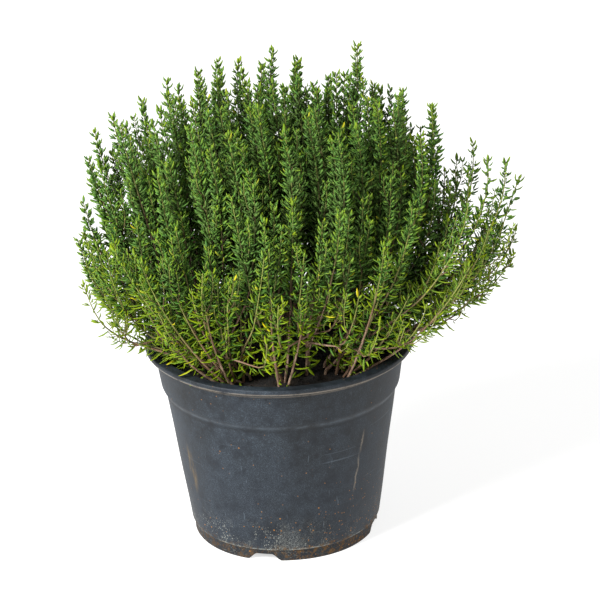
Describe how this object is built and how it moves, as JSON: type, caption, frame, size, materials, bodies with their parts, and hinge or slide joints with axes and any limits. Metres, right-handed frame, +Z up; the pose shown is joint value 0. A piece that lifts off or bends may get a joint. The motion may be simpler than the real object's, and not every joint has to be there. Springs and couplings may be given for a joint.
{
  "type": "potted thyme",
  "caption": "Bushy upright thyme plant with small narrow leaves on woody stems, in a round tapered plastic nursery pot filled with soil.",
  "frame": {"origin": "centre of the flat pad under the pot, on the surface that the pot stands on", "axes": "+Z up; the camera of the reference view looks from -Y, and +X is to its right"},
  "size_m": [0.2687, 0.1819, 0.3027],
  "materials": {
    "pot_plastic": "dark blue-grey, dusty and lightly scratched",
    "soil": null,
    "thyme": null
  },
  "bodies": {
    "root": {"pot": "pot_plastic", "soil": "soil", "spray_01": "thyme", "spray_02": "thyme", "spray_03": "thyme", "spray_04": "thyme", "spray_05": "thyme", "spray_06": "thyme", "spray_07": "thyme", "spray_08": "thyme", "spray_09": "thyme", "spray_10": "thyme", "spray_11": "thyme", "spray_12": "thyme", "spray_13": "thyme", "spray_14": "thyme", "spray_15": "thyme", "spray_16": "thyme", "spray_17": "thyme", "spray_18": "thyme", "spray_19": "thyme", "spray_20": "thyme", "spray_21": "thyme", "spray_22": "thyme", "spray_23": "thyme", "spray_24": "thyme", "spray_25": "thyme", "spray_26": "thyme", "spray_27": "thyme", "spray_28": "thyme", "spray_29": "thyme", "spray_30": "thyme", "spray_31": "thyme", "spray_32": "thyme", "spray_33": "thyme", "spray_34": "thyme", "spray_35": "thyme", "spray_36": "thyme"}
  },
  "joints": []
}
